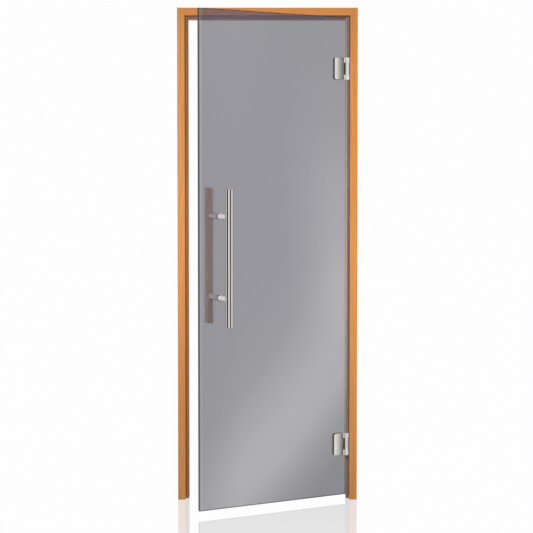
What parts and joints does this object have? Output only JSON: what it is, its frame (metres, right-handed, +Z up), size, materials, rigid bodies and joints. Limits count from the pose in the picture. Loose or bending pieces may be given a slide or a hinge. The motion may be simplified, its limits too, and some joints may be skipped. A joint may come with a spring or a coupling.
{
  "type": "sauna door",
  "caption": "Tinted glass sauna door leaf on clamp hinges in a rebated three-sided wooden frame, with a steel and wood pull handle, standing ajar.",
  "frame": {"origin": "middle of the hinge jamb's flat outer side face, halfway up the frame and halfway through its depth", "axes": "+X out of the hinge jamb's side face into the wall, -Y to the front where the leaf opens, +Z up"},
  "size_m": [0.69, 0.3815, 1.89],
  "materials": {
    "frame_wood": "oiled alder, satin",
    "handle_wood": "smooth heat-treated wood",
    "tinted_glass": "grey-tinted clear float, polished edges",
    "seal": "matt grey silicone",
    "gasket": "matt",
    "washer": "translucent",
    "hinge_steel": "brushed stainless",
    "handle_steel": "polished stainless",
    "fastener_steel": "bright steel"
  },
  "bodies": {
    "frame": {"hinge_jamb": "frame_wood", "lock_jamb": "frame_wood", "head": "frame_wood", "hinge_seal": "seal", "lock_seal": "seal", "head_seal": "seal", "upper_frame_leaf": "hinge_steel", "upper_hinge_pin": "fastener_steel", "lower_frame_leaf": "hinge_steel", "lower_hinge_pin": "fastener_steel"},
    "door_leaf": {"door_glass": "tinted_glass", "upper_outer_clamp": "hinge_steel", "upper_inner_clamp": "hinge_steel", "upper_outer_gasket": "gasket", "upper_inner_gasket": "gasket", "upper_clamp_screws": "fastener_steel", "lower_outer_clamp": "hinge_steel", "lower_inner_clamp": "hinge_steel", "lower_outer_gasket": "gasket", "lower_inner_gasket": "gasket", "lower_clamp_screws": "fastener_steel", "handle_tube": "handle_steel", "handle_caps": "handle_steel", "handle_bar": "handle_wood", "upper_outer_post": "handle_steel", "upper_inner_post": "handle_steel", "upper_outer_washer": "washer", "upper_inner_washer": "washer", "upper_handle_bolt": "fastener_steel", "lower_outer_post": "handle_steel", "lower_inner_post": "handle_steel", "lower_outer_washer": "washer", "lower_inner_washer": "washer", "lower_handle_bolt": "fastener_steel"}
  },
  "joints": [
    {"name": "door_swing", "type": "hinge", "parent": "frame", "child": "door_leaf", "pos_m": [-0.041, -0.036, 0], "axis": [0, 0, 1], "range_deg": [-26.5, 133.5]}
  ]
}
